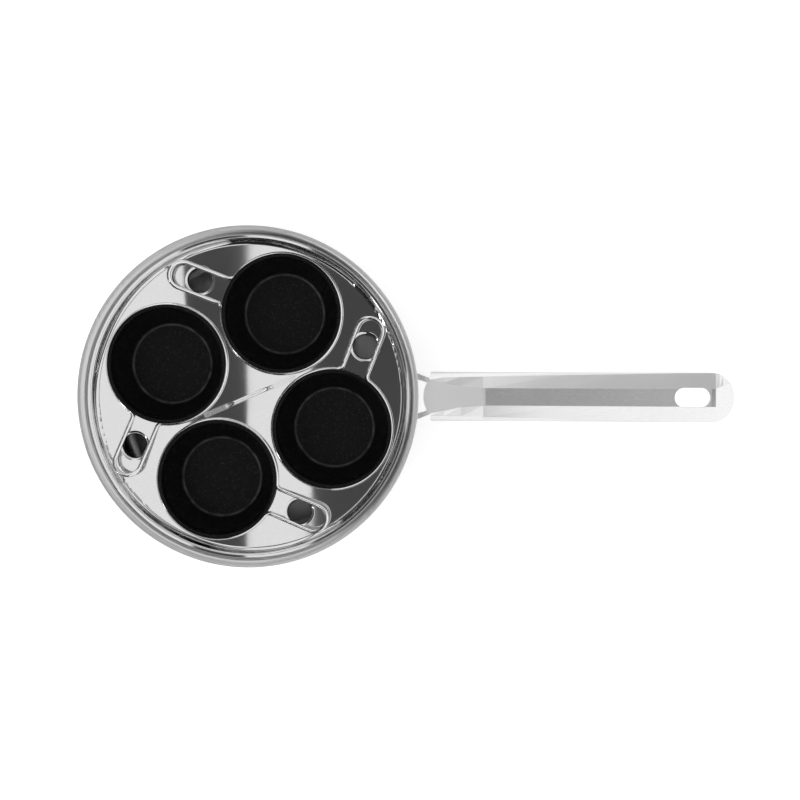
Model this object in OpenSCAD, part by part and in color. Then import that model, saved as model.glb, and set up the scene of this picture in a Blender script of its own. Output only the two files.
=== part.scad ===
// Four cup egg poacher pan, 20 cm, seen with its insert and cups in place.
// Origin at the centre of the resting face, +X along the handle, +Z up, millimetres.

/* [Pan shell] */
// Inside radius of the pan's wall
pan_inner_r = 100; // [90:1:120]
// Height of the rim above the resting face
pan_h = 70; // [62:1:100]
// Thickness of the pan's steel sheet
shell_t = 0.8; // [0.6:0.1:1.2]
// Inside radius of the corner between floor and wall
corner_r = 12; // [8:1:16]
// Width of the ledge that carries the insert
ledge_w = 1.5; // [1.2:0.1:2.5]
// Radius of the flare from the ledge up to the lip
flare_r = 4.2; // [3:0.1:6]
// Width of the level lip outside the flare
lip_w = 1.1; // [0.8:0.1:3]

/* [Base] */
// Radius of the aluminium core under the floor
core_r = 85; // [60:1:86]
// Thickness of the aluminium core
core_h = 4.8; // [3:0.1:8]
// Thickness of the steel cap over the core
cap_t = 0.6; // [0.5:0.1:1]
// Outside radius of the cap's lower edge
cap_edge_r = 2; // [1.5:0.1:2.8]

/* [Insert plate] */
// Thickness of the insert's steel sheet
plate_t = 0.8; // [0.6:0.1:1.2]
// Depth of the plate below its own flange
plate_depth = 9; // [8:0.5:14]
// Radial gap between the flange and the flare
flange_gap = 0.3; // [0.2:0.1:0.6]
// Radial gap between the insert's wall and the pan's wall
insert_gap = 0.9; // [0.5:0.1:1.2]
// Radius of the bend from the flange into the insert's wall
flange_bend_r = 1.2; // [1.2:0.1:1.6]
// Radius of the bend from the insert's wall into the plate
foot_bend_r = 3; // [1.5:0.1:3]
// Radius of each steam hole
steam_r = 7.4; // [5:0.1:9]
// Distance of each steam hole from the pan's axis
steam_ring_r = 79.5; // [77:0.5:81]
// Angle from a cup to the next steam hole
steam_lead = 44.5; // [40:0.5:48]
// Radius of the drawn edge round a steam hole
steam_edge_r = 2.2; // [1.4:0.1:2.6]
// Depth of the collar round a steam hole
steam_collar_h = 3; // [2.8:0.1:5]
// Depth of the collar round a cup hole
cup_collar_h = 2.5; // [1:0.1:4]
// Radius of the rounded edge of a cup hole
cup_hole_edge_r = 0.45; // [0.2:0.05:0.6]

/* [Lift bar] */
// Length of the lift bar from end to end
bar_len = 61; // [52:1:61]
// Width of the bar's flattened feet
foot_w = 3.4; // [2.8:0.1:3.6]
// Thickness of the bar's flattened feet
foot_t = 1.2; // [0.8:0.1:1.5]
// Diameter of the bar's round wire
bar_wire_d = 2.5; // [2:0.1:3]
// Distance between the centres of the arch's two legs
arch_span = 25.4; // [22:0.2:30]
// Height of the arch's wire centre above the plate
arch_h = 7.5; // [7:0.1:9]
// Bend radius at the top of the arch
arch_top_bend = 3.4; // [2:0.1:3.6]
// Bend radius at the foot of the arch
arch_foot_bend = 2; // [1.6:0.1:2.4]

/* [Cups] */
// Angle of the first cup, seen from above
first_cup_angle = -21.3; // [-45:0.1:0]
// Distance of each cup's axis from the pan's axis
cup_ring_r = 56; // [55.6:0.1:56.2]
// Outside radius of a cup's rim
cup_rim_r = 37.6; // [36:0.1:37.8]
// Width of the rolled rim
cup_rim_w = 2.6; // [2.2:0.1:3]
// Height of the rolled rim
cup_rim_h = 2.8; // [2:0.1:4]
// Thickness of a cup's wall
cup_t = 1.2; // [0.8:0.1:1.4]
// Depth of a cup from its rim to its floor
cup_depth = 25; // [22:0.5:30]
// Radius of the flat floor of a cup
cup_floor_r = 24; // [20:0.5:26]
// Radius of the bend from a cup's floor to its wall
cup_floor_bend = 2.5; // [1.5:0.1:4]
// Slope of a cup's wall, measured from the vertical
cup_slope = 32; // [25:1:36]
// Radius of the bend from the sloping wall to the neck
cup_neck_bend = 4; // [2:0.5:6]
// Radial gap between a cup's neck and its hole
cup_hole_gap = 0.45; // [0.3:0.05:0.6]

/* [Cup wires] */
// Diameter of the wire round each cup
wire_d = 2.6; // [2:0.1:2.8]
// Radial gap between a cup's neck and its wire
wire_gap = 0.1; // [0.1:0.02:0.2]
// Distance between the two legs of a loop, centre to centre
loop_w = 16.6; // [14:0.1:18]
// Reach of the loop's wire centre from the cup's axis
loop_reach = 74.2; // [66:0.1:75]
// Bend radius where the ring turns out into a leg
loop_flare_r = 4; // [3:0.1:5]
// Height of the loop's wire centre above the plate at its tip
loop_h = 9.5; // [4:0.1:10]

/* [Handle] */
// Distance of the handle's near end from the pan's axis
handle_x = 109.5; // [109:0.5:120]
// Height of the handle's top face at its near end
handle_z = 60; // [56:0.5:62]
// Upward tilt of the handle
handle_tilt = 6; // [0:0.5:10]
// Length of the handle
handle_len = 192; // [160:1:220]
// Width of the handle
handle_w = 31; // [29:0.5:34]
// Thickness of the handle from its top face to its belly
handle_t = 12.5; // [12:0.5:16]
// Wall thickness of the hollow handle
handle_wall = 1.5; // [1:0.1:2]
// Width of the long groove in the top face
groove_w = 11; // [9:0.2:11.4]
// Depth of the long groove
groove_depth = 0.8; // [0.4:0.1:1]
// Width of the tongue at the near end of the top face
tongue_w = 21.4; // [18:0.2:22]
// Length of the tongue
tongue_len = 37.5; // [30:0.5:45]
// Radius of the tongue's rounded near end
tongue_nose_r = 16.4; // [14:0.2:20]
// Length of the rounded far end
tip_len = 14; // [12:0.5:16]
// Length of the hanging hole
hang_len = 21.7; // [18:0.1:24]
// Width of the hanging hole
hang_w = 12.1; // [8:0.1:12.4]
// Distance from the far end of the hanging hole to the handle's tip
hang_margin = 14.7; // [12:0.1:18]

/* [Handle bracket] */
// Width of the bracket's flange
flange_w = 37; // [35:0.5:42]
// Height of the bracket's flange
flange_h = 26; // [24:0.5:28]
// Thickness of the bracket's flange
flange_t = 2.2; // [1.8:0.1:3]
// Height of the flange's lower edge above the resting face
flange_z = 34; // [32:0.5:34]
// Depth of the bracket's two arms
arm_h = 4.4; // [3.6:0.1:4.6]
// Thickness of each arm
arm_t = 3; // [2:0.1:3.2]
// Length of the arms inside the handle
arm_reach = 22; // [14:0.5:30]
// Diameter of a rivet's shank
rivet_d = 4.8; // [4:0.1:5.4]
// Diameter of a rivet's head
rivet_head_d = 9; // [8:0.1:9.4]
// Height of a rivet's head
rivet_head_h = 1.3; // [1:0.1:1.4]
// Gap between a rivet's shank and its holes
rivet_gap = 0.05; // [0.02:0.01:0.1]

/* [Hidden] */

$fn = 128;
cups = 4;
polished = "silver";
brushed = "darkgray";
coated = [0.09, 0.09, 0.09];

// Heights and radii shared by the pan and its insert
floor_z = cap_t + core_h;
ledge_z = pan_h - flare_r;
ledge_r = pan_inner_r + ledge_w;
flange_r = ledge_r - flange_gap;
insert_r = pan_inner_r - insert_gap - plate_t;
plate_z = ledge_z + plate_t - plate_depth;

// Cup and wire sizes that follow from the ones above
wire_r = wire_d / 2;
neck_r = cup_rim_r - cup_rim_w + cup_t;
wire_ring_r = neck_r + wire_gap + wire_r;
cup_hole_r = neck_r + cup_hole_gap;
cup_rim_z = plate_z + wire_d;
cup_floor_z = cup_rim_z + cup_rim_h - cup_depth;

// One quarter of a ring: quadrant 1 is up and right, then anticlockwise
module quarter_ring(centre, r_in, r_out, quadrant) {
    translate(centre)
        rotate(90 * (quadrant - 1))
            intersection() {
                difference() {
                    circle(r_out);
                    if (r_in > 0) circle(r_in);
                }
                square(r_out);
            }
}

// A rectangle given by two opposite corners
module box_2d(low, high) {
    translate(low) square(high - low);
}

// A rectangle with rounded corners, centred on the origin
module rounded_rect(w, h, r) {
    square([w - 2 * r, h], center = true);
    square([w, h - 2 * r], center = true);
    for (x = [-1, 1], y = [-1, 1])
        translate([x * (w / 2 - r), y * (h / 2 - r)]) circle(r);
}

// Straight slot with round ends, along X, centred on the origin
module slot_2d(length, width) {
    square([length - width, width], center = true);
    for (x = [-1, 1]) translate([x * (length - width) / 2, 0]) circle(d = width);
}

// Points on an arc about a centre, from one angle to another
function arc(centre, r, from, to, steps) =
    [for (i = [0:steps]) let (a = from + (to - from) * i / steps) centre + r * [cos(a), sin(a)]];

// Moves its children onto the axis of each cup, or of one cup
module at_cup(k) {
    rotate(first_cup_angle + k * 360 / cups) translate([cup_ring_r, 0, 0]) children();
}

// Moves its children onto the axis of each steam hole
module at_steam_holes() {
    for (k = [0:cups - 1])
        rotate(first_cup_angle + steam_lead + k * 360 / cups)
            translate([steam_ring_r, 0, 0]) children();
}

// Pan

// Places of the rivets on the wall, as sideways offset and height
rivet_spots = [[0, flange_z + flange_h - 8], [-9, flange_z + 7.5], [9, flange_z + 7.5]];

// Moves its children onto each rivet's axis, with +Z pointing outwards
module at_rivets() {
    for (spot = rivet_spots)
        rotate(asin(spot[0] / pan_inner_r))
            translate([0, 0, spot[1]])
                rotate([0, 90, 0]) children();
}

module pan_shell() {
    corner = [pan_inner_r - corner_r, floor_z + shell_t + corner_r];
    flare = [ledge_r + flare_r, ledge_z];
    rim_r = flare[0] + lip_w - shell_t / 2;
    color(polished)
        difference() {
            rotate_extrude() {
                box_2d([0, floor_z], [corner[0], floor_z + shell_t]);
                quarter_ring(corner, corner_r, corner_r + shell_t, 4);
                box_2d([pan_inner_r, corner[1]], [pan_inner_r + shell_t, ledge_z]);
                box_2d([pan_inner_r, ledge_z - shell_t], [ledge_r + shell_t, ledge_z]);
                quarter_ring(flare, flare_r - shell_t, flare_r, 2);
                box_2d([flare[0], pan_h - shell_t], [rim_r, pan_h]);
                translate([rim_r, pan_h - shell_t / 2]) circle(d = shell_t);
            }
            at_rivets() cylinder(h = pan_inner_r + 2 * shell_t, d = rivet_d + 2 * rivet_gap);
        }
}

module base_core() {
    bend = cap_edge_r - cap_t;
    color("gainsboro")
        rotate_extrude() {
            box_2d([0, cap_t], [core_r - bend, floor_z]);
            box_2d([core_r - bend, cap_t + bend], [core_r, floor_z]);
            quarter_ring([core_r - bend, cap_t + bend], 0, bend, 4);
        }
}

module base_cap() {
    cap_r = core_r + cap_t;
    edge = [cap_r - cap_edge_r, cap_edge_r];
    color(brushed)
        rotate_extrude() {
            box_2d([0, 0], [edge[0], cap_t]);
            quarter_ring(edge, cap_edge_r - cap_t, cap_edge_r, 4);
            box_2d([core_r, cap_edge_r], [cap_r, floor_z]);
        }
}

// Handle. Its own axes are u along it, v across it and w up from its top face.

nose_len = tongue_nose_r - sqrt(pow(tongue_nose_r, 2) - pow(tongue_w / 2, 2));
handle_half = handle_w / 2;
groove_end = handle_len - 12;
seam_w = -6.5;
roof_t = 2.2;
belly_steps = 10;

// Moves its children from the handle's own axes into the pan's
module on_handle() {
    translate([handle_x, 0, handle_z]) rotate([0, -handle_tilt, 0]) children();
}

// Half width and height of the four edges of the handle's section, at distance u
function top_half(u) =
    min(0.92 * crease_half(u),
        lookup(u, [[nose_len, tongue_w / 2], [0.63 * tongue_len, 0.6 * groove_w],
            [tongue_len, groove_w / 2], [groove_end, groove_w / 2],
            [groove_end + 8, 0.8 * groove_w]]));
function outer_half(u) =
    let (from_tip = (u - (handle_len - tip_len)) / tip_len)
    handle_half * (from_tip <= 0 ? 1 : sqrt(max(0, 1 - pow(from_tip, 2))));
function crease_half(u) =
    outer_half(u) * lookup(u, [[nose_len, 0.77], [0.45 * handle_len, 0.88], [0.85 * handle_len, 0.97]]);
function top_w(u) = lookup(u, [[groove_end, 0], [handle_len, -5]]);
function crease_w(u) = lookup(u, [[nose_len, -1], [tongue_len, -3], [groove_end, -3.4], [handle_len, -5.6]]);
function groove_w_at(u) =
    lookup(u, [[tongue_len, 0], [tongue_len + 1.5, groove_depth],
        [groove_end - 1, groove_depth], [groove_end, 0]]);
function belly_w(u) = seam_w - (handle_t + seam_w) * pow(outer_half(u) / handle_half, 0.6);

// Distances along the handle where its section is worked out
nose_stations = [for (v = [0.2, 0.45, 0.68, 0.86, 1])
    tongue_nose_r - sqrt(pow(tongue_nose_r, 2) - pow(v * tongue_w / 2, 2))];
body_stations = [nose_len + 0.02, 0.35 * tongue_len, 0.63 * tongue_len, tongue_len, tongue_len + 1.5,
    0.45 * handle_len, 0.65 * handle_len, 0.85 * handle_len];
tip_stations = [for (a = [0:10:80]) handle_len - tip_len + tip_len * sin(a)];

// Upper half of a section, from the seam on one side over the top to the other
function upper_right(u) = [
    [top_half(u) - groove_w_at(u) / 2, top_w(u) - groove_w_at(u)],
    [top_half(u), top_w(u)],
    [crease_half(u), crease_w(u)],
    [0.3 * crease_half(u) + 0.7 * outer_half(u), 0.55 * crease_w(u) + 0.45 * seam_w],
    [outer_half(u), seam_w]];
function roof_right(v) = [[0.9 * v, 0], [v, 0], [v + 0.4, -0.6], [v + 0.6, -1.2], [v + 0.6, -roof_t]];
function mirrored(half) =
    concat([for (i = [len(half) - 1:-1:0]) [-half[i][0], half[i][1]]], half);
function belly(u, inset) =
    [for (i = [0:belly_steps]) let (a = 180 * i / belly_steps)
        [(outer_half(u) - inset) * cos(a), seam_w + (belly_w(u) + inset - seam_w) * sin(a)]];

// Closed surface through a list of sections, each a list of points at one distance
module loft(stations, sections) {
    n = len(sections[0]);
    last = len(sections) - 1;
    points = [for (i = [0:last]) each [for (p = sections[i]) [stations[i], p[0], p[1]]]];
    sides = [for (i = [0:last - 1], j = [0:n - 1]) let (k = (j + 1) % n)
        each [[i * n + j, i * n + k, (i + 1) * n + k], [i * n + j, (i + 1) * n + k, (i + 1) * n + j]]];
    near_end = [for (j = [n - 1:-1:0]) j];
    far_end = [for (j = [0:n - 1]) last * n + j];
    polyhedron(points, concat(sides, [near_end, far_end]), convexity = 6);
}

// Space inside the two handle shells, open at the near end
module handle_cavity() {
    stations = [nose_len - 1, tongue_len, 0.45 * handle_len, handle_len - hang_margin - hang_len - 6];
    loft(stations, [for (u = stations)
        concat(
            mirrored([
                [top_half(u) - handle_wall, -groove_depth - handle_wall],
                [crease_half(u) - handle_wall, crease_w(u) - handle_wall],
                [outer_half(u) - handle_wall, seam_w + 1]]),
            belly(u, handle_wall))]);
}

// Cutter for the hanging hole
module hanging_hole() {
    translate([handle_len - hang_margin - hang_len / 2, 0, -2 * handle_t])
        linear_extrude(3 * handle_t) slot_2d(hang_len, hang_w);
}

module handle_upper_shell() {
    stations = concat(nose_stations, body_stations, tip_stations);
    noses = len(nose_stations);
    sections = [for (i = [0:len(stations) - 1]) let (u = stations[i])
        i < noses
            ? mirrored(roof_right(sqrt(pow(tongue_nose_r, 2) - pow(tongue_nose_r - u, 2))))
            : mirrored(upper_right(u))];
    color(polished)
        on_handle()
            difference() {
                loft(stations, sections);
                handle_cavity();
                hanging_hole();
            }
}

module handle_lower_shell() {
    stations = concat(body_stations, tip_stations);
    color(polished)
        on_handle()
            difference() {
                loft(stations, [for (u = stations) belly(u, 0)]);
                handle_cavity();
                hanging_hole();
            }
}

// Outline of one arm seen from above, from the flange to its end inside the handle
module arm_2d() {
    root = pan_inner_r - 2;
    bend = handle_x + nose_len;
    end = bend + arm_reach;
    spread = flange_w / 2 - 1.2;
    inner = tongue_w / 2 - 2.6;
    polygon([[root, spread - 1.4 * arm_t], [root, spread], [bend, inner + arm_t],
        [end, inner + arm_t], [end, inner], [bend, inner]]);
}

module handle_bracket() {
    inside = pan_inner_r + shell_t;
    arm_w = -8.6;
    web_x = handle_x + nose_len + arm_reach - 5;
    web_w = tongue_w - 2;
    color("gray")
        difference() {
            union() {
                intersection() {
                    translate([0, 0, flange_z]) difference() {
                        cylinder(h = flange_h, r = inside + flange_t);
                        translate([0, 0, -1]) cylinder(h = flange_h + 2, r = inside);
                    }
                    translate([0, 0, flange_z + flange_h / 2]) rotate([90, 0, 90])
                        linear_extrude(2 * inside) rounded_rect(flange_w, flange_h, 5);
                }
                translate([handle_x, 0, handle_z]) rotate([0, -handle_tilt, 0])
                    translate([-handle_x, 0, arm_w]) {
                        linear_extrude(arm_h) {
                            arm_2d();
                            mirror([0, 1]) arm_2d();
                            translate([web_x, -web_w / 2]) square([5, web_w]);
                        }
                    }
            }
            at_rivets() cylinder(h = 2 * inside, d = rivet_d + 2 * rivet_gap);
            cylinder(h = pan_h, r = inside);
        }
}

// Rivets through the wall and the flange, with a low dome on each side
module handle_rivets() {
    outside = pan_inner_r + shell_t + flange_t;
    dome_r = (pow(rivet_head_d / 2, 2) + pow(rivet_head_h, 2)) / (2 * rivet_head_h);
    color("lightgray") {
        at_rivets() translate([0, 0, pan_inner_r - 0.5]) cylinder(h = shell_t + flange_t + 1, d = rivet_d);
        intersection() {
            at_rivets() translate([0, 0, pan_inner_r + dome_r - rivet_head_h]) sphere(dome_r);
            cylinder(h = pan_h, r = pan_inner_r);
        }
        difference() {
            at_rivets() translate([0, 0, outside - dome_r + rivet_head_h]) sphere(dome_r);
            cylinder(h = pan_h, r = outside);
        }
    }
}

// Insert

// Section of the turned down edge of a hole, with the plate's top face at height 0
module drawn_edge_2d(hole_r, edge_r, depth) {
    quarter_ring([hole_r + edge_r, -edge_r], edge_r - plate_t, edge_r, 2);
    box_2d([hole_r, -depth], [hole_r + plate_t, -edge_r]);
}

module poacher_plate() {
    foot = [insert_r - foot_bend_r, plate_z + foot_bend_r];
    bend = [insert_r + flange_bend_r, ledge_z + plate_t - flange_bend_r];
    edge_r = flange_r - plate_t / 2;
    color(polished) {
        difference() {
            rotate_extrude() {
                box_2d([0, plate_z - plate_t], [foot[0], plate_z]);
                quarter_ring(foot, foot_bend_r, foot_bend_r + plate_t, 4);
                box_2d([insert_r, foot[1]], [insert_r + plate_t, bend[1]]);
                quarter_ring(bend, flange_bend_r - plate_t, flange_bend_r, 2);
                box_2d([bend[0], ledge_z], [edge_r, ledge_z + plate_t]);
                translate([edge_r, ledge_z + plate_t / 2]) circle(d = plate_t);
            }
            for (k = [0:cups - 1])
                at_cup(k) cylinder(h = pan_h, r = cup_hole_r + cup_hole_edge_r);
            at_steam_holes() cylinder(h = pan_h, r = steam_r + steam_edge_r);
        }
        for (k = [0:cups - 1])
            at_cup(k) translate([0, 0, plate_z]) rotate_extrude()
                drawn_edge_2d(cup_hole_r, cup_hole_edge_r, cup_collar_h);
        at_steam_holes() translate([0, 0, plate_z]) rotate_extrude()
            drawn_edge_2d(steam_r, steam_edge_r, steam_collar_h);
    }
}

// Wire bridge with flattened feet, standing on the middle of the plate
module lift_bar() {
    wire = bar_wire_d / 2;
    leg = arch_span / 2;
    top = leg - arch_top_bend;
    knee = leg + arch_foot_bend;
    foot_len = bar_len / 2 - knee;
    rise = arch_h - arch_top_bend - wire - arch_foot_bend;
    color(polished)
        rotate(first_cup_angle + steam_lead)
            translate([0, 0, plate_z]) {
                translate([-top, 0, arch_h]) rotate([0, 90, 0]) cylinder(h = 2 * top, r = wire);
                for (side = [0, 180]) rotate(side) {
                    translate([top, 0, arch_h - arch_top_bend]) rotate([90, 0, 0])
                        rotate_extrude(angle = 90) translate([arch_top_bend, 0]) circle(wire);
                    translate([leg, 0, wire + arch_foot_bend]) cylinder(h = rise, r = wire);
                    translate([knee, 0, wire + arch_foot_bend]) rotate([90, 180, 0])
                        rotate_extrude(angle = 90) translate([arch_foot_bend, 0]) circle(wire);
                    translate([knee, 0, wire]) rotate([0, 90, 0]) cylinder(h = foot_w / 2, r = wire);
                    translate([knee + foot_len / 2, 0, 0]) linear_extrude(foot_t)
                        slot_2d(foot_len + foot_w / 2, foot_w);
                }
            }
}

// Cups

// Section line of a cup at a distance outside its inner face
function cup_line(out) =
    let (
        low = [cup_floor_r, cup_floor_z + cup_floor_bend],
        neck_in = neck_r - cup_t,
        low_x = low[0] + cup_floor_bend * cos(cup_slope),
        low_z = low[1] - cup_floor_bend * sin(cup_slope),
        run = neck_in - cup_neck_bend * (1 - cos(cup_slope)) - low_x,
        high = [neck_in - cup_neck_bend, low_z + run / tan(cup_slope) + cup_neck_bend * sin(cup_slope)])
    concat(
        [[0, cup_floor_z - out]],
        arc(low, cup_floor_bend + out, -90, -cup_slope, 10),
        arc(high, cup_neck_bend + out, -cup_slope, 0, 8),
        [[neck_in + out, cup_rim_z]]);

function reversed(list) = [for (i = [len(list) - 1:-1:0]) list[i]];

module cup(k) {
    rim_round = cup_rim_w / 2;
    rim_centre = [cup_rim_r - rim_round, cup_rim_z + cup_rim_h - rim_round];
    color(coated)
        at_cup(k)
            rotate_extrude()
                polygon(concat(
                    cup_line(0),
                    arc(rim_centre, rim_round, 180, 0, 14),
                    [[cup_rim_r, cup_rim_z]],
                    reversed(cup_line(cup_t))));
}

// Cup wires. The path runs round the cup, out along one leg, round the tip and back.

leg_y = loop_w / 2;
flare_y = leg_y + loop_flare_r;
flare_x = sqrt(pow(wire_ring_r + loop_flare_r, 2) - pow(flare_y, 2));
flare_angle = atan2(flare_y, flare_x);
tip_x = loop_reach - leg_y;
leg_steps = 3;
wire_sides = 8;

// Height of the wire centre above the plate at a distance along the loop
function loop_rise(x) =
    wire_r + (loop_h - wire_r) * max(0, x - flare_x - 1) / (loop_reach - flare_x - 1);

half_path = concat(
    arc([0, 0], wire_ring_r, 180, flare_angle, 20),
    [for (i = [1:4]) let (a = 180 + flare_angle + (90 - flare_angle) * i / 4)
        [flare_x, flare_y] + loop_flare_r * [cos(a), sin(a)]],
    [for (i = [1:leg_steps]) [flare_x + (tip_x - flare_x) * (i == 1 ? 0.1 : (i - 1) / leg_steps), leg_y]],
    arc([tip_x, 0], leg_y, 90, 0, 7));
wire_path = concat(half_path,
    [for (i = [len(half_path) - 2:-1:1]) [half_path[i][0], -half_path[i][1]]]);

module cup_wire(k) {
    n = len(wire_path);
    centres = [for (p = wire_path) [p[0], p[1], loop_rise(p[0])]];
    points = [for (i = [0:n - 1]) let (
            before = centres[(i + n - 1) % n],
            after = centres[(i + 1) % n],
            along = (after - before) / norm(after - before),
            side = [along[1], -along[0], 0] / norm([along[0], along[1]]),
            up = cross(side, along),
            reach = wire_r / cos(180 / wire_sides))
        each [for (j = [0:wire_sides - 1]) let (a = 360 * (j + 0.5) / wire_sides)
            centres[i] + reach * (cos(a) * side + sin(a) * up)]];
    faces = [for (i = [0:n - 1], j = [0:wire_sides - 1]) let (
            a = i * wire_sides + j,
            b = i * wire_sides + (j + 1) % wire_sides,
            c = ((i + 1) % n) * wire_sides + (j + 1) % wire_sides,
            d = ((i + 1) % n) * wire_sides + j)
        each [[a, b, c], [a, c, d]]];
    color("lightgray")
        at_cup(k) translate([0, 0, plate_z]) rotate(90) polyhedron(points, faces, convexity = 8);
}

pan_shell();
base_core();
base_cap();
handle_bracket();
handle_rivets();
handle_upper_shell();
handle_lower_shell();
poacher_plate();
lift_bar();
cup(0);  // cup_1
cup(1);  // cup_2
cup(2);  // cup_3
cup(3);  // cup_4
cup_wire(0);  // cup_wire_1
cup_wire(1);  // cup_wire_2
cup_wire(2);  // cup_wire_3
cup_wire(3);  // cup_wire_4
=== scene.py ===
from math import atan2, cos, pi, radians, sin, sqrt

import bmesh
import bpy
from mathutils import Matrix, Vector


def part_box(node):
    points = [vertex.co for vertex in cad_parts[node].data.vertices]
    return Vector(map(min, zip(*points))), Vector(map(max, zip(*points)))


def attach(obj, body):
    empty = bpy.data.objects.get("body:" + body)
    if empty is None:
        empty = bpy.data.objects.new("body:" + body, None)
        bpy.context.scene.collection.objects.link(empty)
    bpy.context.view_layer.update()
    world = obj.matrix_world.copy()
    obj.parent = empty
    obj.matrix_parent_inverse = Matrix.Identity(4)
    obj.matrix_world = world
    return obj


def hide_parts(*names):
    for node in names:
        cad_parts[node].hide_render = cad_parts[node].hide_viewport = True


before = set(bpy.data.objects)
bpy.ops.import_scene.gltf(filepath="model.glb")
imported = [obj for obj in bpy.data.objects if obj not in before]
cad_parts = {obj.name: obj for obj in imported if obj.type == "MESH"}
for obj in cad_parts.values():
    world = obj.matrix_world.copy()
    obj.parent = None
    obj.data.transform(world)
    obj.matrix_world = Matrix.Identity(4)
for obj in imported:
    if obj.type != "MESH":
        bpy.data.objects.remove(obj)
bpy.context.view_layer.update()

MM = 0.001

# Camera: the photograph looks almost straight down, 1 m above the rim
RIM_Z = 0.07
CAMERA_AT = Vector((0.1262, 0.0323, RIM_Z + 1.0))
CAMERA_AIM = Vector((0.0952, -0.0018, RIM_Z))
FOCAL_PIXELS = 1611
PHOTO_PIXELS = 800

# Layout of the four cups and their wires, as in the CAD model
CUPS = 4
FIRST_CUP = radians(-21.3)
CUP_STEP = 2 * pi / CUPS
CUP_RING_R = 56 * MM
WIRE_R = 1.3 * MM
WIRE_RING_R = 37.6 * MM
LEG_Y = 8.3 * MM
LOOP_REACH = 74.2 * MM
LOOP_FLARE_R = 4 * MM
LOOP_LEVEL = 1 * MM
LOOP_H = 9.5 * MM

# Fineness of the drawn wires
WIRE_SIDES = 20
RING_STEPS = 72
FLARE_STEPS = 10
LEG_STEPS = 16
TIP_STEPS = 18

# Painted highlight ring where a cup's floor bends up: the radii over which it fades in, and fades out
HIGHLIGHT_RING_FROM = (24.2 * MM, 25 * MM)
HIGHLIGHT_RING_TO = (25.2 * MM, 26.4 * MM)

# Long groove in the handle
HANDLE_FROM = 109.5 * MM
HANDLE_TILT = radians(6)
GROOVE_START = 37.5 * MM
GROOVE_END = 181 * MM
GROOVE_HALF_W = 5.8 * MM

# Stage: the floor, and the cards that stand in for a dark studio
FLOOR_REACH = 6
FLOOR_GREY = 0.8
FLOOR_GLOW = 0.4
CARD_Z = 1.5
CARD_LOW_Z = 0.1
CARD_GREY = 0.08


# Materials

class Nodes:
    """Short calls for building one material's node tree."""

    def __init__(self, name):
        self.material = bpy.data.materials.new(name)
        self.material.use_nodes = True
        self.tree = self.material.node_tree
        self.shader = self.tree.nodes["Principled BSDF"]
        self.place = self.add("ShaderNodeTexCoord").outputs["Object"]

    def add(self, kind, **values):
        node = self.tree.nodes.new(kind)
        for key, value in values.items():
            setattr(node, key, value)
        return node

    def link(self, source, target):
        self.tree.links.new(source, target)

    def surface(self, **values):
        """Sets plain values on the shader, with _ for a space in a socket's name."""
        for key, value in values.items():
            self.shader.inputs[key.replace("_", " ")].default_value = value

    def roughness(self, value):
        self.link(value, self.shader.inputs["Roughness"])

    def noise(self, scale, detail=3.0, vector=None, stretch=None):
        source = vector or self.place
        if stretch:
            mapping = self.add("ShaderNodeMapping")
            mapping.inputs["Scale"].default_value = stretch
            self.link(source, mapping.inputs["Vector"])
            source = mapping.outputs["Vector"]
        noise = self.add("ShaderNodeTexNoise")
        noise.inputs["Scale"].default_value = scale
        noise.inputs["Detail"].default_value = detail
        self.link(source, noise.inputs["Vector"])
        return noise.outputs["Fac"]

    def remap(self, value, low, high, start=0.3, end=0.7):
        """Turns start..end into low..high, and holds what lies outside."""
        ramp = self.add("ShaderNodeMapRange")
        ramp.inputs["From Min"].default_value = start
        ramp.inputs["From Max"].default_value = end
        ramp.inputs["To Min"].default_value = low
        ramp.inputs["To Max"].default_value = high
        self.link(value, ramp.inputs["Value"])
        return ramp.outputs["Result"]

    def combine(self, operation, first, second):
        node = self.add("ShaderNodeMath", operation=operation)
        self.link(first, node.inputs[0])
        self.link(second, node.inputs[1])
        return node.outputs[0]

    def bump(self, height, strength, distance=0.0002):
        bump = self.add("ShaderNodeBump")
        bump.inputs["Strength"].default_value = strength
        bump.inputs["Distance"].default_value = distance
        self.link(height, bump.inputs["Height"])
        self.link(bump.outputs["Normal"], self.shader.inputs["Normal"])

    def greys(self, value, dark, light):
        """Base colour from one grey to another, as value goes from 0 to 1."""
        mix = self.add("ShaderNodeMix", data_type="RGBA")
        mix.inputs["A"].default_value = (dark, dark, dark, 1)
        mix.inputs["B"].default_value = (light, light, light, 1)
        self.link(value, mix.inputs["Factor"])
        self.link(mix.outputs["Result"], self.shader.inputs["Base Color"])

    def polar(self):
        """Coordinates that run round the Z axis: angle, radius and height."""
        parts = self.add("ShaderNodeSeparateXYZ")
        self.link(self.place, parts.inputs[0])
        flat = self.add("ShaderNodeCombineXYZ")
        self.link(parts.outputs["X"], flat.inputs["X"])
        self.link(parts.outputs["Y"], flat.inputs["Y"])
        radius = self.add("ShaderNodeVectorMath", operation="LENGTH")
        self.link(flat.outputs[0], radius.inputs[0])
        out = self.add("ShaderNodeCombineXYZ")
        self.link(self.combine("ARCTAN2", parts.outputs["Y"], parts.outputs["X"]), out.inputs["X"])
        self.link(radius.outputs["Value"], out.inputs["Y"])
        self.link(parts.outputs["Z"], out.inputs["Z"])
        return out.outputs[0]

    def distance_from_axis(self, axis):
        """Distance from an upright axis through a point of the XY plane."""
        flat = self.add("ShaderNodeVectorMath", operation="MULTIPLY")
        flat.inputs[1].default_value = (1, 1, 0)
        self.link(self.place, flat.inputs[0])
        offset = self.add("ShaderNodeVectorMath", operation="DISTANCE")
        offset.inputs[1].default_value = (axis[0], axis[1], 0)
        self.link(flat.outputs[0], offset.inputs[0])
        return offset.outputs["Value"]


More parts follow.
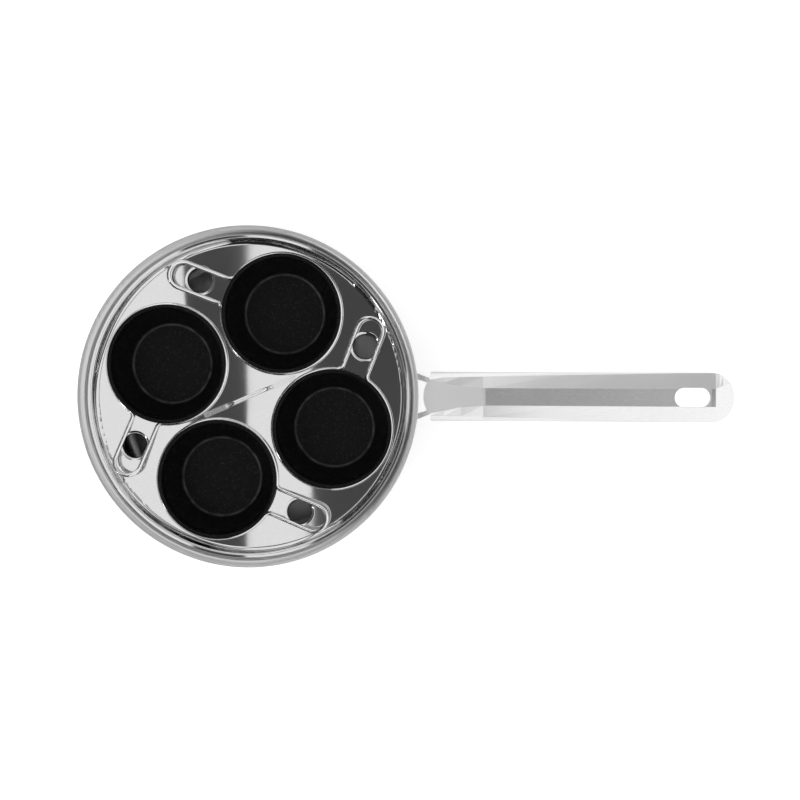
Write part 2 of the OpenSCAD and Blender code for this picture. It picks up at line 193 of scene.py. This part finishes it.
def turned_steel(name, dark, light, rough_low, rough_high, bump):
    """Steel brushed round the pan's axis, with faint smudges."""
    m = Nodes(name)
    lines = m.noise(60, 6, m.polar(), stretch=(0.15, 120, 120))
    m.surface(Metallic=1.0, Anisotropic=0.5)
    m.greys(m.remap(lines, 0, 1), dark, light)
    m.roughness(m.remap(m.noise(28, 4), rough_low, rough_high))
    m.bump(lines, bump)
    return m.material


def mirror_steel(name, light, rough_low, rough_high):
    """Polished steel with hairline scratches and a slightly uneven gloss."""
    m = Nodes(name)
    hairs = m.noise(300, 2, stretch=(1, 12, 1))
    wave = m.noise(14, 2)
    m.surface(Metallic=1.0)
    m.greys(m.remap(hairs, 0, 1), 0.94 * light, light)
    m.roughness(m.remap(wave, rough_low, rough_high))
    m.bump(wave, 0.05, 0.0008)
    return m.material


def long_brushed_steel(name):
    """Steel brushed along the handle, darker where the grain is deep."""
    m = Nodes(name)
    lines = m.noise(90, 6, stretch=(0.3, 40, 40))
    m.surface(Metallic=1.0)
    m.greys(m.remap(lines, 0, 1), 0.44, 0.58)
    m.roughness(m.remap(m.noise(40, 3), 0.26, 0.4))
    m.bump(lines, 0.25, 0.0001)
    return m.material


def non_stick(name, axis):
    """Black coating with fine pale flecks, and a painted highlight that makes it paler where the floor
    bends up.
    """
    m = Nodes(name)
    cells = m.add("ShaderNodeTexVoronoi")
    cells.inputs["Scale"].default_value = 1500
    m.link(m.place, cells.inputs["Vector"])
    in_middle = m.remap(cells.outputs["Distance"], 1, 0, 0.1, 0.35)
    in_some = m.remap(m.noise(700, 1), 0, 0.5, 0.5, 0.6)
    flecks = m.combine("MULTIPLY", in_middle, in_some)

    # Painted highlight: a paler ring, broken up by noise, round this cup's axis where its floor bends
    # up
    radius = m.distance_from_axis(axis)
    band = m.combine("MULTIPLY", m.remap(radius, 0, 1, *HIGHLIGHT_RING_FROM), m.remap(radius, 1, 0, *HIGHLIGHT_RING_TO))
    painted_highlight = m.combine("MULTIPLY", band, m.remap(m.noise(160, 5), 0.05, 0.5))

    m.greys(m.combine("MAXIMUM", flecks, painted_highlight), 0.003, 0.1)
    m.surface(Specular_IOR_Level=0.1)
    m.roughness(m.remap(m.noise(120, 3), 0.3, 0.42))
    m.bump(m.noise(1400, 2), 0.12, 0.0001)
    return m.material


PAN_STEEL = turned_steel("pan_steel", 0.56, 0.7, 0.3, 0.4, 0.12)
BASE_STEEL = turned_steel("base_steel", 0.42, 0.56, 0.3, 0.42, 0.35)
MIRROR_STEEL = mirror_steel("mirror_steel", 0.74, 0.02, 0.05)
HANDLE_STEEL = mirror_steel("handle_steel", 0.95, 0.2, 0.28)
WIRE_STEEL = mirror_steel("wire_steel", 0.85, 0.08, 0.14)
BRACKET_STEEL = mirror_steel("bracket_steel", 0.85, 0.2, 0.3)
ALUMINIUM = turned_steel("aluminium", 0.7, 0.8, 0.35, 0.5, 0.2)
GROOVE_STEEL = long_brushed_steel("groove_steel")


# Drawn wires

def new_object(name, vertices, faces, material):
    mesh = bpy.data.meshes.new(name)
    mesh.from_pydata(vertices, [], faces)
    mesh.materials.append(material)
    obj = bpy.data.objects.new(name, mesh)
    bpy.context.scene.collection.objects.link(obj)
    return obj


def face_outwards(mesh):
    work = bmesh.new()
    work.from_mesh(mesh)
    bmesh.ops.recalc_face_normals(work, faces=work.faces)
    work.to_mesh(mesh)
    work.free()


def arc_points(centre, radius, start, end, steps):
    """Points on an arc, without its first point."""
    angles = [start + (end - start) * i / steps for i in range(1, steps + 1)]
    return [Vector((centre[0] + radius * cos(a), centre[1] + radius * sin(a))) for a in angles]


def wire_path():
    """Centre line of a cup's wire seen from above, its loop along +X, and where the legs start."""
    flare_y = LEG_Y + LOOP_FLARE_R
    flare_x = sqrt((WIRE_RING_R + LOOP_FLARE_R) ** 2 - flare_y ** 2)
    flare_angle = atan2(flare_y, flare_x)
    tip_x = LOOP_REACH - LEG_Y
    leg_step = (tip_x - flare_x) / LEG_STEPS
    half = [Vector((-WIRE_RING_R, 0))]
    half += arc_points((0, 0), WIRE_RING_R, pi, flare_angle, RING_STEPS)
    half += arc_points((flare_x, flare_y), LOOP_FLARE_R, pi + flare_angle, 1.5 * pi, FLARE_STEPS)
    half += [Vector((flare_x + leg_step * i, LEG_Y)) for i in range(1, LEG_STEPS + 1)]
    half += arc_points((tip_x, 0), LEG_Y, pi / 2, 0, TIP_STEPS)
    back = [Vector((p.x, -p.y)) for p in reversed(half[1:-1])]
    return half + back, flare_x


def wire_centres(index, plate_z):
    """The path of one cup's wire in its place, level round the cup and rising along the loop."""
    path, flare_x = wire_path()
    rise_from = flare_x + LOOP_LEVEL
    turn = Matrix.Rotation(FIRST_CUP + index * CUP_STEP, 3, "Z")
    centres = []
    for p in path:
        along = max(0.0, p.x - rise_from) / (LOOP_REACH - rise_from)
        height = plate_z + WIRE_R + (LOOP_H - WIRE_R) * along
        centres.append(turn @ Vector((CUP_RING_R - p.y, p.x, height)))
    return centres


def tube(centres):
    """Vertices and faces of a closed round wire along its centre line."""
    count = len(centres)
    vertices, faces = [], []
    for i, centre in enumerate(centres):
        along = (centres[(i + 1) % count] - centres[i - 1]).normalized()
        side = along.cross(Vector((0, 0, 1))).normalized()
        up = side.cross(along)
        here, there = i * WIRE_SIDES, (i + 1) % count * WIRE_SIDES
        for j in range(WIRE_SIDES):
            angle = 2 * pi * j / WIRE_SIDES
            vertices.append(centre + WIRE_R * (cos(angle) * side + sin(angle) * up))
            k = (j + 1) % WIRE_SIDES
            faces.append((here + j, here + k, there + k, there + j))
    return vertices, faces


def cup_wire(index, plate_z):
    node = f"cup_wire_{index + 1}"
    piece = new_object(f"{node}_drawn", *tube(wire_centres(index, plate_z)), WIRE_STEEL)
    face_outwards(piece.data)
    piece.data.polygons.foreach_set("use_smooth", [True] * len(piece.data.polygons))
    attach(piece, f"egg_cup_{index + 1}")
    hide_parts(node)


# Pieces of the CAD model

def dress(name, material):
    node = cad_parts[name]
    node.data.materials.clear()
    node.data.materials.append(material)
    return node


def brush_groove(shell):
    """Gives the faces at the bottom of the handle's groove the brushed steel."""
    shell.data.materials.append(GROOVE_STEEL)
    for face in shell.data.polygons:
        along = (face.center.x - HANDLE_FROM) / cos(HANDLE_TILT)
        in_groove = GROOVE_START < along < GROOVE_END and abs(face.center.y) < GROOVE_HALF_W
        if in_groove and face.normal.z > 0.5:
            face.material_index = 1


def cup_axis(index):
    turn = FIRST_CUP + index * CUP_STEP
    return CUP_RING_R * cos(turn), CUP_RING_R * sin(turn)


plate_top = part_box("cup_wire_1")[0][2]
for k in range(CUPS):
    dress(f"cup_{k + 1}", non_stick(f"non_stick_{k + 1}", cup_axis(k)))
    dress(f"cup_wire_{k + 1}", WIRE_STEEL)
    cup_wire(k, plate_top)
dress("pan_shell", PAN_STEEL)
dress("base_core", ALUMINIUM)
dress("base_cap", BASE_STEEL)
dress("handle_bracket", BRACKET_STEEL)
dress("handle_rivets", BRACKET_STEEL)
dress("poacher_plate", MIRROR_STEEL)
dress("lift_bar", WIRE_STEEL)
dress("handle_lower_shell", HANDLE_STEEL)
brush_groove(dress("handle_upper_shell", HANDLE_STEEL))


# Stage

def panel(name, corners, grey):
    """A flat sheet of the stage. Returns its object and its material's nodes."""
    m = Nodes(name)
    m.surface(Base_Color=(grey, grey, grey, 1), Roughness=0.9, Specular_IOR_Level=0.0)
    obj = new_object(name, corners, [(0, 1, 2, 3)], m.material)
    return obj, m


def card(name, corners, grey):
    """A dark card that only reflections show."""
    obj, _ = panel(name, corners, grey)
    obj.visible_camera = False
    obj.visible_diffuse = False
    obj.visible_shadow = False


def level(x0, x1, y0, y1, z):
    return [(x0, y0, z), (x1, y0, z), (x1, y1, z), (x0, y1, z)]


def leaning(low_from, low_to, high_to, high_from):
    """Corners of a card that leans over the pan, given as XY places."""
    low = [(x, y, CARD_LOW_Z) for x, y in (low_from, low_to)]
    high = [(x, y, CARD_Z) for x, y in (high_to, high_from)]
    return low + high


def add_floor():
    """A pale floor that glows a little to the camera, so that it comes out white."""
    edge = FLOOR_REACH
    _, m = panel("floor", level(-edge, edge, -edge, edge, 0), FLOOR_GREY)
    light_path = m.add("ShaderNodeLightPath")
    glow = m.add("ShaderNodeMath", operation="MULTIPLY")
    glow.inputs[1].default_value = FLOOR_GLOW
    m.link(light_path.outputs["Is Camera Ray"], glow.inputs[0])
    m.link(glow.outputs[0], m.shader.inputs["Emission Strength"])
    m.surface(Emission_Color=(1, 1, 1, 1))


def add_cards():
    middle = [(-0.245, -0.8), (-0.19, -0.8), (-0.18, 0.4), (-0.29, 0.4)]
    card("card_middle", [(x, y, CARD_Z) for x, y in middle], CARD_GREY)
    card("card_right", level(-0.085, 0.06, -0.8, 0.9, CARD_Z), CARD_GREY)
    card("card_back", level(-0.2, 1.2, 0.45, 1.8, CARD_Z), 0.5)
    card("side_left", leaning((-0.8, -0.4), (-0.8, 0.8), (-0.47, 0.6), (-0.47, -0.3)), 0.1)
    card("side_front_left", leaning((-0.7, -0.45), (-0.02, -0.9), (-0.02, -0.4), (-0.45, -0.31)), 0.02)


def add_world():
    world = bpy.data.worlds.new("studio")
    world.use_nodes = True
    background = world.node_tree.nodes["Background"]
    background.inputs["Color"].default_value = (1, 1, 1, 1)
    background.inputs["Strength"].default_value = 1.0
    bpy.context.scene.world = world


def add_key_light():
    """One soft square light at the left, aimed at the pan's middle."""
    at = Vector((-0.9, -0.5, 1.1))
    data = bpy.data.lights.new("key", "AREA")
    data.size = 0.7
    data.energy = 6
    obj = bpy.data.objects.new("key", data)
    obj.location = at
    obj.rotation_euler = at.to_track_quat("Z", "Y").to_euler()
    bpy.context.scene.collection.objects.link(obj)


def add_camera():
    """The photograph's camera, with the picture's upright along +Y."""
    data = bpy.data.cameras.new("camera")
    data.sensor_width = 36
    data.lens = data.sensor_width * FOCAL_PIXELS / PHOTO_PIXELS
    obj = bpy.data.objects.new("camera", data)
    back = (CAMERA_AT - CAMERA_AIM).normalized()
    right = Vector((0, 1, 0)).cross(back).normalized()
    up = back.cross(right)
    turned = Matrix((right, up, back)).transposed().to_4x4()
    obj.matrix_world = Matrix.Translation(CAMERA_AT) @ turned
    bpy.context.scene.collection.objects.link(obj)
    bpy.context.scene.camera = obj


add_floor()
add_cards()
add_world()
add_key_light()
add_camera()
bpy.context.scene.view_settings.view_transform = "Standard"
